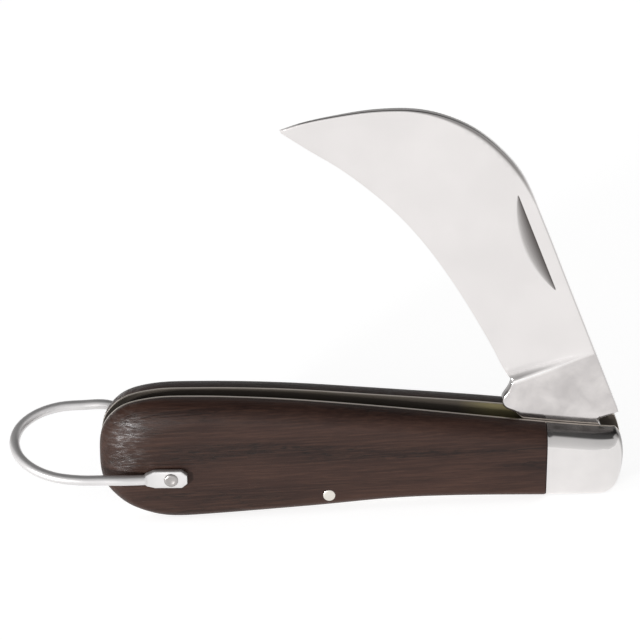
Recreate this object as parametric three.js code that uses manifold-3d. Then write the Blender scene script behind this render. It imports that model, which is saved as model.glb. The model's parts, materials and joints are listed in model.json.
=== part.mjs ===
// A folding hawkbill pocket knife: a hooked pruning blade that turns between two brass liners,
// held by a backspring, with wooden scales, one pair of bolsters and a wire bail at the butt.
//
// Millimetres, +Z up. The knife stands on its back with the blade half open above the handle.
// Handle outlines are given as [x, z]: x is measured forward from the blade's pivot and z up from
// the back. Thickness runs along Y: the mark side, with the nail nick, faces -Y and the pile side +Y.
import * as THREE from 'three';
import { mergeVertices } from 'three/addons/utils/BufferGeometryUtils.js';
import Module from 'manifold-3d';

const wasm = await Module();
wasm.setup();

// ---- Driving dimensions ----
const MARK = -1;                  // the side that faces -Y
const PILE = 1;                   // the side that faces +Y

const PIVOT_HEIGHT = 9;           // from the back up to the blade's pivot
const SLOT_HALF = 1.5;            // half the gap between the liners
const LINER_THICKNESS = 0.7;
const LINER_FACE = SLOT_HALF + LINER_THICKNESS;
const FACE = 7.2;                 // from the middle plane to the flat of a scale or bolster
const CROWN_DEPTH = 3.6;          // how far the rounding of the long edges reaches in from the face
const CROWN_WIDTH = 2.4;          // how far it reaches in from the outline
const FIT_GAP = 0.02;             // between pieces that are riveted together
const RUN_GAP = 0.05;             // around a pin that something turns on

const BOLSTER_JOINT = -8;         // x of the joint between bolster and scale, at mid height
const BOLSTER_LEAN = 3.4;         // degrees that the joint leans forward at the top
const JOINT_HEIGHT = 9;

const BLADE_TURN = 108.2;         // degrees that the blade stands folded from fully open
const TANG_HALF = 1.4;
const TANG_RADIUS = 4.7;          // round end of the tang, about the pivot
const SPINE_DEPTH = 9;            // from the pivot to the spine, flush with the back when open
const TANG_STEP = 4.9;            // x of the step that meets the spring's nose
const PLUNGE = 19.2;              // x where the full-thickness tang ends and the grind begins
const CLOSED_TURN = 156;          // degrees from open to closed
const EDGE_HALF = 0.15;

const NICK_CENTRE = 45.6;
const NICK_LENGTH = 22.5;
const NICK_WIDTH = 2.9;
const NICK_LINE = -6.4;           // z of its straight side, in the open blade
const NICK_FLOOR = 0.6;           // from the middle plane to the bottom of the nick

const SPRING_HALF = 1.45;
const SPRING_NOSE = 4.7;          // x of the spring's front end
const SPRING_SEAM = -43;          // x where the part that flexes begins
const SEAM_GAP = 0.3;

const PIVOT_PIN_RADIUS = 1.6;
const CENTRE_PIN = { x: -51.9, z: 4.3, radius: 1.2 };
const BAIL_PIN = { x: -83.2, z: 10.6, radius: 1.1, head: 1.5, dome: 0.6 };

const WIRE_RADIUS = 1.05;
const LEG_OFFSET = 9.2;           // from the middle plane to the middle of each straight leg
const LEG_LENGTH = 18.5;          // from the bail's pin to where the loop begins
const LOOP_REACH = 13.3;          // how far the loop goes on from there
const TAB_INNER = 7.4;            // the eye of each leg is flattened between these two
const TAB_OUTER = 8.8;
const TAB_HALF_HEIGHT = 1.9;
const MARK_TAB_RISE = 3;          // degrees that each eye points up from the handle's length
const PILE_TAB_RISE = 34;
const MARK_LEG_RISE = 1.4;        // heights of the two legs above the bail's pin
const PILE_LEG_RISE = 8.9;
const LOOP_SWELL = 1.1;

const CIRCLE_STEPS = 32;
const degrees = THREE.MathUtils.degToRad;

// ---- Outlines ----

// The top edge of the handle, from the front corner to the butt. The mark side is cut lower, so
// that a thumbnail reaches the nick.
const MARK_TOP = [[6.2, 13.7], [1, 14.3], [-8.8, 15.8], [-20.7, 17.8], [-41.6, 21.3], [-60.9, 24.1]];
const PILE_TOP = [[6.4, 14.6], [1, 15.3], [-8.8, 17.1], [-20.5, 19], [-41.5, 21.9], [-60.9, 24.4]];
// Round the butt, from the top to the back.
const BUTT = [[-78, 25.7], [-86.2, 25.8], [-92.6, 24.3], [-96.4, 20.5], [-97.6, 15], [-97.2, 8.6],
  [-93.8, 4.3], [-89.6, 1.8], [-84.5, 0.3]];
// Along the back, which is slightly hollow, and round the front end.
const BACK = [[-76, 0.2], [-65, 0.5], [-53, 0.9], [-38, 1.6], [-22.6, 1.2], [-10, 0.5], [0, 0.05]];
const FRONT = [[3.6, 0.1], [5.9, 1.6], [7.1, 4.8], [7.6, 9], [7.1, 12.4]];

// The backspring's inner edge, from the nose to the butt: full height under the tang, thinner
// behind the kick, and swelling round the two pins that hold it.
const SPRING_INNER = [[-8, 4.2], [-13, 3.6], [-26, 3.6], [-38, 4.8], [-46, 6.3], [-54, 6.8],
  [-63, 7.2], [-73, 10], [-79, 12.2], [-84, 12.9], [-91, 12], [-97.3, 11.4]];

// The blade, open: x forward from the pivot and z up from it, so that the spine is at the bottom.
const SPINE = [[49, -SPINE_DEPTH], [59.5, -8.6], [66.1, -6.5], [72, -3.2], [76.6, 1.2], [79.8, 6],
  [82.6, 13.2], [84.4, 21.2], [85.3, 27], [85.5, 31.5]];
const EDGE = [[21.1, 9.1], [28.4, 9.8], [40.7, 11.5], [51.6, 13.8], [60.2, 16.6], [67.6, 20.1],
  [73.9, 23.8], [79.3, 27.7], [85.2, 31.8]];
const NOTCH = [19.3, 8.4];
const KICK = [[12.6, 10.3], [14.3, 11.8], [16, 11.8], [17.6, 9.9]];

// ---- Solids ----

// Points along a smooth curve through a few [x, z] points.
function smoothRun(points, stepsPerSpan) {
  const through = points.map(([x, z]) => new THREE.Vector3(x, z, 0));
  const curve = new THREE.CatmullRomCurve3(through, false, 'centripetal');
  const run = curve.getPoints((points.length - 1) * stepsPerSpan);
  return run.map((point) => new THREE.Vector2(point.x, point.y));
}

function shapeThrough(points) {
  return new THREE.Shape(points.map((point) => (Array.isArray(point) ? new THREE.Vector2(...point) : point)));
}

// An outline in the XZ plane, filled from one y to another.
function slab(shape, fromY, toY) {
  const depth = Math.abs(toY - fromY);
  const geometry = new THREE.ExtrudeGeometry(shape, { depth, bevelEnabled: false });
  geometry.rotateX(Math.PI / 2);
  geometry.translate(0, Math.max(fromY, toY), 0);
  return geometry;
}

function toSolid(geometry) {
  const bare = geometry.clone();
  bare.deleteAttribute('normal');
  bare.deleteAttribute('uv');
  const merged = mergeVertices(bare, 1e-4);
  return new wasm.Manifold(new wasm.Mesh({
    numProp: 3,
    vertProperties: new Float32Array(merged.attributes.position.array),
    triVerts: new Uint32Array(merged.index.array),
  }));
}

function toGeometry(solid) {
  const mesh = solid.getMesh();
  const geometry = new THREE.BufferGeometry();
  geometry.setAttribute('position', new THREE.BufferAttribute(mesh.vertProperties, 3));
  geometry.setIndex(new THREE.BufferAttribute(mesh.triVerts, 1));
  geometry.computeVertexNormals();
  return geometry;
}

function boxSolid(minimum, maximum) {
  const low = new THREE.Vector3(...minimum);
  const high = new THREE.Vector3(...maximum);
  const extent = high.clone().sub(low);
  const middle = low.add(high).multiplyScalar(0.5);
  return toSolid(new THREE.BoxGeometry(extent.x, extent.y, extent.z).translate(...middle.toArray()));
}

// A round bar along Y through the handle, at x and z.
function barSolid(x, z, radius, halfLength) {
  const bar = new THREE.CylinderGeometry(radius, radius, 2 * halfLength, CIRCLE_STEPS);
  return toSolid(bar.translate(x, 0, z));
}

// Takes out the holes for the three pins, with a gap round each.
function drillForPins(solid, gap) {
  const reach = 12;
  const pivotHole = barSolid(0, PIVOT_HEIGHT, PIVOT_PIN_RADIUS + gap, reach);
  const centreHole = barSolid(CENTRE_PIN.x, CENTRE_PIN.z, CENTRE_PIN.radius + gap, reach);
  const bailHole = barSolid(BAIL_PIN.x, BAIL_PIN.z, BAIL_PIN.radius + gap, reach);
  return solid.subtract(pivotHole).subtract(centreHole).subtract(bailHole);
}

// ---- Handle ----

function handleOutline(side) {
  const top = side === MARK ? MARK_TOP : PILE_TOP;
  return smoothRun([...top, ...BUTT, ...BACK, ...FRONT, top[0]], 4).slice(0, -1);
}

function liner(side) {
  const plate = slab(new THREE.Shape(handleOutline(side)), side * SLOT_HALF, side * LINER_FACE);
  return toGeometry(drillForPins(toSolid(plate), FIT_GAP));
}

// The outline drawn in by the same distance all round.
function drawnIn(outline, distance) {
  return outline.map((point, index) => {
    const before = outline.at(index - 1);
    const after = outline[(index + 1) % outline.length];
    const along = after.clone().sub(before).normalize();
    return new THREE.Vector2(point.x - along.y * distance, point.y + along.x * distance);
  });
}

// One whole side of the handle outside its liner: flat against the liner, crowned along its edges.
function crownedSide(side) {
  const outline = handleOutline(side);
  const count = outline.length;
  const levels = [[LINER_FACE + FIT_GAP, 0]];
  const crownSteps = 6;
  for (let step = 0; step <= crownSteps; step += 1) {
    const angle = (step / crownSteps) * (Math.PI / 2);
    levels.push([FACE - CROWN_DEPTH * (1 - Math.sin(angle)), CROWN_WIDTH * (1 - Math.cos(angle))]);
  }
  const positions = [];
  for (const [y, inset] of levels) {
    drawnIn(outline, inset).forEach((point) => positions.push(point.x, side * y, point.y));
  }
  const triangles = [];
  const lastRing = count * (levels.length - 1);
  for (const [a, b, c] of THREE.ShapeUtils.triangulateShape(outline, [])) {
    triangles.push([a, b, c], [lastRing + a, lastRing + c, lastRing + b]);
  }
  for (let ring = 0; ring < levels.length - 1; ring += 1) {
    for (let index = 0; index < count; index += 1) {
      const here = ring * count + index;
      const next = ring * count + ((index + 1) % count);
      triangles.push([here, here + count, next], [next, here + count, next + count]);
    }
  }
  const geometry = new THREE.BufferGeometry();
  geometry.setAttribute('position', new THREE.Float32BufferAttribute(positions, 3));
  geometry.setIndex(triangles.flatMap(([a, b, c]) => (side === PILE ? [a, b, c] : [a, c, b])));
  return drillForPins(toSolid(geometry), FIT_GAP);
}

// Everything ahead of the leaning joint, or everything behind it.
function aheadOfJoint(gap, direction) {
  const reach = 120;
  const block = new THREE.BoxGeometry(reach, 40, 80);
  block.translate(direction * (reach / 2 + gap), 0, 0);
  block.rotateY(degrees(BOLSTER_LEAN));
  block.translate(BOLSTER_JOINT, 0, JOINT_HEIGHT);
  return toSolid(block);
}

function bolster(side) {
  return toGeometry(crownedSide(side).intersect(aheadOfJoint(FIT_GAP, 1)));
}

function scale(side) {
  return toGeometry(crownedSide(side).intersect(aheadOfJoint(0, -1)));
}

function pivotPin() {
  return toGeometry(barSolid(0, PIVOT_HEIGHT, PIVOT_PIN_RADIUS, FACE));
}

function centrePin() {
  return toGeometry(barSolid(CENTRE_PIN.x, CENTRE_PIN.z, CENTRE_PIN.radius, FACE));
}

// The rivet that the bail turns on, with a domed head outside each eye.
function bailPin() {
  const underHead = TAB_OUTER + RUN_GAP;
  const profile = [new THREE.Vector2(0, -underHead - BAIL_PIN.dome)];
  const domeSteps = 6;
  for (let step = 1; step <= domeSteps; step += 1) {
    const angle = (step / domeSteps) * (Math.PI / 2);
    const out = BAIL_PIN.head * Math.sin(angle);
    profile.push(new THREE.Vector2(out, -underHead - BAIL_PIN.dome * Math.cos(angle)));
  }
  profile.push(new THREE.Vector2(BAIL_PIN.radius, -underHead));
  const otherHalf = profile.map((point) => new THREE.Vector2(point.x, -point.y)).reverse();
  const rivet = new THREE.LatheGeometry([...profile, ...otherHalf], CIRCLE_STEPS);
  return toGeometry(toSolid(rivet.translate(BAIL_PIN.x, 0, BAIL_PIN.z)));
}

// ---- Backspring ----

// The whole bent bar between the liners, in one piece.
function wholeSpring() {
  const outer = smoothRun([...BUTT.slice(5), ...BACK, [SPRING_NOSE, 0.15]], 4);
  const inner = smoothRun(SPRING_INNER, 4);
  const outline = shapeThrough([...outer, [SPRING_NOSE, SPRING_INNER[0][1]], ...inner]);
  return drillForPins(toSolid(slab(outline, -SPRING_HALF, SPRING_HALF)), FIT_GAP);
}

function springFoot() {
  return toGeometry(wholeSpring().intersect(boxSolid([-120, -5, -5], [SPRING_SEAM, 5, 40])));
}

function springArm() {
  return toGeometry(wholeSpring().intersect(boxSolid([SPRING_SEAM + SEAM_GAP, -5, -5], [20, 5, 40])));
}

// ---- Blade, drawn open about its pivot ----

// Half the blade's thickness at the spine, from the plunge line (0) to the tip (1).
function spineHalf(along) {
  return 1.3 - 0.75 * along ** 3;
}

// The ground part: a wedge from the spine to the edge, following both curves to the tip.
function groundBlade() {
  const start = PLUNGE - 0.7;
  const steps = 36;
  const straight = [[start, -SPINE_DEPTH], [34, -SPINE_DEPTH]];
  const spineCurve = new THREE.SplineCurve(smoothRun([...straight, ...SPINE], 4));
  const edgeCurve = new THREE.SplineCurve(smoothRun([[start, 8.2], NOTCH, ...EDGE], 4));
  const positions = [];
  const indices = [];
  for (let step = 0; step <= steps; step += 1) {
    const along = step / steps;
    const spine = spineCurve.getPointAt(along);
    const edge = edgeCurve.getPointAt(along);
    const half = spineHalf(along);
    positions.push(spine.x, -half, spine.y, edge.x, -EDGE_HALF, edge.y);
    positions.push(edge.x, EDGE_HALF, edge.y, spine.x, half, spine.y);
  }
  for (let step = 0; step < steps; step += 1) {
    for (let corner = 0; corner < 4; corner += 1) {
      const here = 4 * step + corner;
      const next = 4 * step + ((corner + 1) % 4);
      indices.push(here, here + 4, next, next, here + 4, next + 4);
    }
  }
  const last = 4 * steps;
  indices.push(0, 1, 2, 0, 2, 3, last, last + 2, last + 1, last, last + 3, last + 2);
  const geometry = new THREE.BufferGeometry();
  geometry.setAttribute('position', new THREE.Float32BufferAttribute(positions, 3));
  geometry.setIndex(indices);
  return toSolid(geometry);
}

// The tang: a step for the spring's nose, a round end, a straight run that lies on the closed
// spring, and the kick that keeps the edge off it.
function tang() {
  const shape = new THREE.Shape();
  shape.moveTo(TANG_STEP, -SPINE_DEPTH);
  shape.lineTo(PLUNGE, -SPINE_DEPTH);
  shape.lineTo(PLUNGE, NOTCH[1] - 0.1);
  const kick = smoothRun([[PLUNGE - 0.6, NOTCH[1]], ...[...KICK].reverse()], 4);
  kick.forEach((point) => shape.lineTo(point.x, point.y));
  const runAngle = degrees(270 - CLOSED_TURN);
  shape.absarc(0, 0, TANG_RADIUS, runAngle, degrees(270), false);
  shape.lineTo(TANG_STEP, -TANG_RADIUS);
  return toSolid(slab(shape, -TANG_HALF, TANG_HALF));
}

// The nail nick: a slice of a circle, straight along the spine side.
function nick() {
  const radius = (NICK_LENGTH ** 2 / 4 + NICK_WIDTH ** 2) / (2 * NICK_WIDTH);
  const halfAngle = Math.asin(NICK_LENGTH / 2 / radius);
  const shape = new THREE.Shape();
  const centre = NICK_LINE + NICK_WIDTH - radius;
  shape.absarc(NICK_CENTRE, centre, radius, Math.PI / 2 - halfAngle, Math.PI / 2 + halfAngle, false);
  return toSolid(slab(shape, MARK * NICK_FLOOR, MARK * 3));
}

function blade() {
  const pivotHole = barSolid(0, 0, PIVOT_PIN_RADIUS + RUN_GAP, 5);
  return toGeometry(groundBlade().add(tang()).subtract(nick()).subtract(pivotHole));
}

// ---- Bail, drawn about its pin ----

// The flattened end of a leg, pointing back and up by some degrees, with its eye.
function bailEye(side, rise) {
  const shape = shapeThrough([
    [-5.8, -0.8], [-4.4, -TAB_HALF_HEIGHT], [2, -TAB_HALF_HEIGHT], [3.2, -0.8],
    [3.2, 0.8], [2, TAB_HALF_HEIGHT], [-4.4, TAB_HALF_HEIGHT], [-5.8, 0.8],
  ]);
  const plate = slab(shape, side * TAB_INNER, side * TAB_OUTER);
  plate.rotateY(degrees(rise));
  return toSolid(plate).subtract(barSolid(0, 0, BAIL_PIN.radius + RUN_GAP, 12));
}

// A point of the wire's middle line where it runs along an eye, clear of the handle.
function alongEye(side, rise, distance) {
  const angle = degrees(rise);
  const out = side * (TAB_INNER + WIRE_RADIUS);
  return new THREE.Vector3(-distance * Math.cos(angle), out, distance * Math.sin(angle));
}

// The wire's middle line: the mark side's leg runs straight back, the loop turns round behind the
// butt, and the pile side's leg comes back higher and bends down to its eye.
function bailRoute() {
  const points = [alongEye(MARK, MARK_TAB_RISE, 4.6), new THREE.Vector3(-9, -LEG_OFFSET + 0.1, 0.5)];
  points.push(new THREE.Vector3(-LEG_LENGTH + 5, -LEG_OFFSET, 0.9));
  const middle = (MARK_LEG_RISE + PILE_LEG_RISE) / 2;
  const half = (PILE_LEG_RISE - MARK_LEG_RISE) / 2;
  const turns = 8;
  for (let turn = 0; turn <= turns; turn += 1) {
    const angle = (turn / turns - 0.5) * Math.PI;
    points.push(new THREE.Vector3(
      -LEG_LENGTH - LOOP_REACH * Math.cos(angle),
      LEG_OFFSET * Math.sin(angle),
      middle + half * Math.sin(angle) + LOOP_SWELL * Math.cos(angle),
    ));
  }
  points.push(new THREE.Vector3(-12.9, LEG_OFFSET, PILE_LEG_RISE - 0.4));
  points.push(alongEye(PILE, PILE_TAB_RISE, 8.6), alongEye(PILE, PILE_TAB_RISE, 4.6));
  return new THREE.CatmullRomCurve3(points, false, 'centripetal');
}

function bail() {
  const section = new THREE.Shape();
  section.absarc(0, 0, WIRE_RADIUS, 0, 2 * Math.PI, false);
  const wire = new THREE.ExtrudeGeometry(section, {
    extrudePath: bailRoute(), steps: 64, curveSegments: 10,
  });
  const eyes = bailEye(MARK, MARK_TAB_RISE).add(bailEye(PILE, PILE_TAB_RISE));
  const keepClear = barSolid(0, 0, BAIL_PIN.head + 1, 12);
  return toGeometry(toSolid(wire).subtract(keepClear).add(eyes));
}

// ---- Assembly ----

const BRASS = { color: 0xb79a5b, roughness: 0.35, metalness: 1 };
const WOOD = { color: 0x3a2a25, roughness: 0.5, metalness: 0 };
const NICKEL_SILVER = { color: 0xdcdad6, roughness: 0.15, metalness: 1 };
const STEEL = { color: 0xcfcfcf, roughness: 0.3, metalness: 1 };
const BLADE_STEEL = { color: 0xdedede, roughness: 0.25, metalness: 1 };

function named(name, geometry, finish) {
  const mesh = new THREE.Mesh(geometry, new THREE.MeshStandardMaterial(finish));
  mesh.name = name;
  return mesh;
}

function handleGroup() {
  const handle = new THREE.Group();
  for (const [prefix, side] of [['mark', MARK], ['pile', PILE]]) {
    handle.add(named(`${prefix}_liner`, liner(side), BRASS));
    handle.add(named(`${prefix}_scale`, scale(side), WOOD));
    handle.add(named(`${prefix}_bolster`, bolster(side), NICKEL_SILVER));
  }
  handle.add(named('backspring', springFoot(), STEEL));
  handle.add(named('backspring_arm', springArm(), STEEL));
  handle.add(named('pivot_pin', pivotPin(), NICKEL_SILVER));
  handle.add(named('centre_pin', centrePin(), NICKEL_SILVER));
  handle.add(named('bail_pin', bailPin(), NICKEL_SILVER));
  return handle;
}

function bladeGroup() {
  const group = new THREE.Group();
  group.add(named('blade', blade(), BLADE_STEEL));
  group.position.set(0, 0, PIVOT_HEIGHT);
  group.rotation.y = -degrees(BLADE_TURN);
  return group;
}

function bailGroup() {
  const group = new THREE.Group();
  group.add(named('bail', bail(), STEEL));
  group.position.set(BAIL_PIN.x, 0, BAIL_PIN.z);
  return group;
}

const knife = new THREE.Group();
knife.add(handleGroup(), bladeGroup(), bailGroup());

// The origin goes under the middle of the whole knife, on the surface that its back stands on.
const extent = new THREE.Box3().setFromObject(knife, true);
const middle = extent.getCenter(new THREE.Vector3());
knife.position.set(-middle.x, 0, -extent.min.z);

export default knife;
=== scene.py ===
import json
import math

import bmesh
import bpy
import numpy as np
from mathutils import Matrix, Vector
from mathutils.geometry import delaunay_2d_cdt


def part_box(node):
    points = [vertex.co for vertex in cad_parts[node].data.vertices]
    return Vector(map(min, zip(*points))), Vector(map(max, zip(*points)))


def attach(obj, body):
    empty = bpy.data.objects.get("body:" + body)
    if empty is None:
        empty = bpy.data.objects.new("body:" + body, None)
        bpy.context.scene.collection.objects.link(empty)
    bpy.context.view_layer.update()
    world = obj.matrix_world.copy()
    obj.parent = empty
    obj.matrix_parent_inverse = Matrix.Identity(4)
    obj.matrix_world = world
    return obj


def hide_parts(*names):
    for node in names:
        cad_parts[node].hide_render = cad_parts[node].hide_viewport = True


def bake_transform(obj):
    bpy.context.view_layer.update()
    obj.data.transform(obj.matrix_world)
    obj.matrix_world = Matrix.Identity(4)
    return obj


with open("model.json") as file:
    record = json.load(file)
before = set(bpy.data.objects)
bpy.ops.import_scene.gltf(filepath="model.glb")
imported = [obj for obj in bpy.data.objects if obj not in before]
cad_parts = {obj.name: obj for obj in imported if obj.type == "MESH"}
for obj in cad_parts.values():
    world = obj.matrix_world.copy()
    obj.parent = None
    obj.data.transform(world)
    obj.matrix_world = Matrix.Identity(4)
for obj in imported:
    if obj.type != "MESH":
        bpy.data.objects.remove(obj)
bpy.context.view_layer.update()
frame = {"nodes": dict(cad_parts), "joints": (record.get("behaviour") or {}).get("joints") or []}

MILLIMETRE = 0.001
JOINTS = {joint["name"]: joint for joint in frame["joints"]}
PIVOT = np.array(JOINTS["blade_pivot"]["pos_m"]) / MILLIMETRE
BAIL_AXIS = np.array(JOINTS["bail_swing"]["pos_m"]) / MILLIMETRE
OPENING = math.radians(JOINTS["blade_pivot"]["range_deg"][1])
MARK, PILE = -1, 1          # the nail nick's side faces -Y, the plain side +Y
SIDES = {"mark": MARK, "pile": PILE}

# ---- Outlines ----
SAME_PLACE = 1e-6           # metres within which two corners of a CAD mesh are one ...
SAME_PLANE = 1e-5           # ... and within which they lie on one face
CORNER_CUT = 2              # points cut off beside a crossed corner, a millimetre of inset
ROUNDING = 10               # rounds of smoothing, a millimetre of inset
CLEAR_SHARE = 0.985         # a moved point is clear at this share of its inset ...
CLEAR_SLACK = 0.001         # ... less this

# ---- Blade, drawn open: x forward from the pivot, z up from it, spine below ----
SPINE_DEPTH = 9.0
TANG_HALF = 1.4
TANG_RADIUS = 4.7
TANG_STEP = 4.9
CLOSED_TURN = 156
PLUNGE = 19.2
PLUNGE_SWEEP = 1.9          # length over which the grind runs up to the full tang
RIDGE = 0.45                # width of the worn ridge where it does ...
RIDGE_DROP = 0.1            # ... and how far the ridge falls
SPINE = [(49, -9), (59.5, -8.6), (66.1, -6.5), (72, -3.2), (76.6, 1.2), (79.8, 6),
         (82.58, 13.2), (84.4, 21.2), (85.3, 27), (85.5, 31.5)]
EDGE = [(19.3, 8.4), (21.1, 9.1), (28.4, 9.8), (40.7, 11.5), (51.6, 13.8), (60.2, 16.6),
        (67.6, 20.1), (73.9, 23.8), (79.3, 27.7), (85.2, 31.8)]
KICK = [(17.6, 9.9), (16, 11.8), (14.3, 11.8), (12.6, 10.3)]
SPINE_HALF = 1.3            # half thickness at the spine, from the grind's start ...
TIP_THINNING = 1.0          # ... less this at the tip
SHOULDER_HALF = 0.2         # half thickness where the honed edge begins
HONE_WIDTH = 0.7
UNHONED_REACH = 0.8         # how far past the plunge's sweep the edge is fully honed ...
UNHONED_EXTRA = 1.6         # ... and how much thicker it may be at the plunge
EDGE_HALF = 0.02
CORNER_ROUND = 0.3          # rounding of the blade's square corners ...
CORNER_SHARE = 0.6          # ... which takes no more than this share of the half thickness
BEVEL_WIDTH = 0.55          # how much wider the coarse bevel on the crown of the spine is ...
BEVEL_DEPTH = 0.15          # ... and how much deeper
BEVEL_LOW = 0.15            # share of that bevel on the rest of the spine
BEVEL_START, BEVEL_RISE = 0.42, 0.12    # where the crown starts and how soon the bevel is whole,
BEVEL_STOP, BEVEL_FALL = 0.82, 0.19     # where it stops and how long it fades: shares of the spine

NICK_CENTRE = 45.6
NICK_LENGTH = 22.5
NICK_WIDTH = 2.9
NICK_LINE = -6.4            # height of its straight side
NICK_DEPTH = 0.5
NICK_WALL = 0.1             # width of the steep wall there
NICK_COLUMNS = 60
NICK_ROWS = (0.2, 0.4, 0.6, 0.8)    # shares of the way across its floor
NICK_MARGIN = (0.3, 0.35)   # how far off other points are kept, along and across
TINY = 1e-6                 # a height that counts as none

# Coarsely ground steel is painted dark, and so are painted shade and dark reflections: 0 is satin
# and 1 is the nick's painted shade. Heights are from the pivot.
SPINE_COARSE_SHADE = 0.25     # how dark the spine's corner is painted, for its rough grind and as a dark reflection ...
BEVEL_COARSER_SHADE = 0.5         # ... and how much darker the bevel on its crown is
SPINE_SHADE_MARGIN = 0.1           # how far past the bevel that reaches ...
SPINE_SHADE_SHARPNESS = 1.8        # ... and how sharply it ends there
SPINE_SHADE_STOP, SPINE_SHADE_FALL = 0.8, 0.15    # where along the spine its corner begins to lighten
TANG_RIM_COARSE_SHADE = 0.85  # how dark the tang's sawn rim is painted at the kick, for its rough finish and as painted shade ...
TANG_RIM_LEAST = 0.35       # ... what share of that it is below ...
KICK_FOOT, KICK_RISE = 3, 4     # ... this height, and how far up it takes to be whole
GRIND_PAINTED_SHADE = 0.5      # how dark the grind is painted where it starts, at the plunge, as painted shade ...
GRIND_CLEAR, GRIND_FADE = 0.1, 2.6  # ... from where to where along it that fades ...
GRIND_FOOT = -2             # ... and the height where it begins to show
RIDGE_HIGHLIGHT_FOOT = -6             # the height where the painted highlight on the plunge's ridge begins
NOTCH_RISE = 9              # how far up each of them takes to be whole, at the notch

# The blade's faces are filled with a triangular grid, and with lines of points where they bend.
OUTLINE_SPACING = 0.5
GRID_SPACING = 0.9
GRID_CLEARANCE = 0.5
GRID_ROW = 0.866            # from one row of the grid to the next, where its spacing is 1
RIM_INSETS = (0.1, 0.2, CORNER_ROUND, 0.5, HONE_WIDTH, CORNER_ROUND + BEVEL_WIDTH)
SWEEP_LINES = (-2 * RIDGE, -RIDGE, -RIDGE / 2, 0.3, 0.6, 0.95, 1.35,
               PLUNGE_SWEEP, PLUNGE_SWEEP + 0.6)    # ahead of the plunge
SWEEP_CLEARANCE = 0.4
PLUNGE_TOP = 8.1            # where the plunge's line stops, just short of the notch ...
SWEEP_TOP = 8.8             # ... and the lines beside it
PLUNGE_CLEARANCE = 0.12
FILL_MERGE = 1e-4           # points this near become one
BLADE_SMOOTH_ANGLE = 32

# ---- Handle ----
SPRING_HALF = 1.45
SPRING_PLAY = 0.06          # how far the spring is kept clear of the tang
SPRING_ROUND = 0.18
SEAM_WIDTH = 0.05           # points this near the seam are on its cut
LINER_INNER = 1.5
LINER_OUTER = 2.2
LINER_ROUND = 0.16          # rounding of the liners' worn rims
SIDE_FOOT = 2.22            # where the scales and bolsters stand on the liners
SIDE_SKIN = 0.02            # how far the sides' outlines are kept inside the plates'
FACE = 7.2
CROWN_DEPTH = 4.4
CROWN_WIDTH = 2.4
PILE_CROWN_WIDTH = 1.6
TOP_CROWN_EXTRA = 1.5       # the nick's side is rounded further along its top edge ...
BUTT_CROWN_EXTRA = 6.0      # ... and further still at the butt
BUTT_CROWN_REACH = 20.0     # how far forward of the butt that takes to fade
TOP_CROWN_FOOT, TOP_CROWN_RISE = 3, 14  # the height where that begins and how soon it is whole
CROWN_STEPS = 14
RIM_END = 0.17              # inset at which the painted dark reflection along a side's rim has given way to its polish ...
RIM_FADE = 0.1              # ... and the change of inset that this takes
JOINT_POINT = PIVOT + np.array([-8, 0, 0])
JOINT_LEAN = math.radians(3.4)
WOOD_CORNER = 0.22          # the scale's broken corner at the joint ...
BOLSTER_CORNER = 0.035      # ... the bolster's crisper one ...
BOLSTER_GAP = 0.06          # ... and the gap between them

PIN_SEGMENTS = 40
PIN_DOME = 0.12
PIVOT_DOME = 0.05
PIVOT_SINK = 0.2            # how far below the bolster's flat the pivot pin's dome starts
RIVET_END = [(0, 0.18), (0.35, 0.2), (0.7, 0.3), (0.95, 0.36), (1.2, 0.3), (1.4, 0.12),
             (1.44, -0.1)]      # (from the axis, height) of a peened head with a dished middle

# ---- Bail, drawn about its pin ----
WIRE_RADIUS = 1.04
EYE_MIDDLE = 8.1            # from the middle plane to the middle of each flattened eye
EYE_HALF_THICKNESS = 0.7
EYE_HALF_HEIGHT = 1.9
EYE_END = 3.2               # from the pin to the eye's blunt end
EYE_FLAT = 3.2              # from the pin to where the eye stops being straight
EYE_NECK = 5.3              # from the pin to where the flat ends and the round wire starts
EYE_SQUARENESS = 4          # how square the flattened wire's section is, where 0 is round
BLUNT_LENGTH = 1.1          # length over which the eye's end narrows ...
BLUNT_SHARE = 0.5           # ... to this share of its height
NECK_TAPER = 2.0            # length over which the eye narrows towards its neck
NECK_STEP = 0.35            # length over which the wire is struck flat
NECK_SHARE = 0.15
NECK_REACH = 5.8            # the wire's first bend: how far it is from the pin ...
NECK_OUT = 0.45             # ... and how far it leads out from the eye's flat
LEG_OFFSET = 9.2
LEG_LENGTH = 18.5
LOOP_REACH = 13.28
LOOP_SWELL = 1.1
MARK_EYE_RISE = math.radians(3)
PILE_EYE_RISE = math.radians(34)
MARK_LEG_RISE = 1.4
PILE_LEG_RISE = 8.9
WIRE_SEGMENTS = 28

# ---- Painted light, a painted glint, polish and darker brass on the handle: pairs of places, in metres, between which each comes or goes ----
BACK_PAINTED_LIGHT = (0.0, 0.006)            # z, up from the back
BUTT_PAINTED_LIGHT = (-0.043, -0.025)        # x, forward from the butt
POLISH_START = (-0.0425, -0.0395)   # x, of the wood polished by handling ...
POLISH_STOP = (-0.037, -0.032)
POLISH_FOOT = (0.009, 0.015)        # ... and z
SLOT_DARKEST_AT_BUTT = (-0.038, -0.030)     # x, of the darkest brass in the slot
GLINT_START = (0.029, 0.036)          # x, of the painted glint on the brass inside the slot, beside the tang
GLINT_STOP = (0.040, 0.046)
SLOT_SIDE = (0.00002, 0.00012)      # y, out from a liner's inner face


# -------- geometry helpers --------

def metres(points):
    return [tuple(float(value) * MILLIMETRE for value in point) for point in points]


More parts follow.
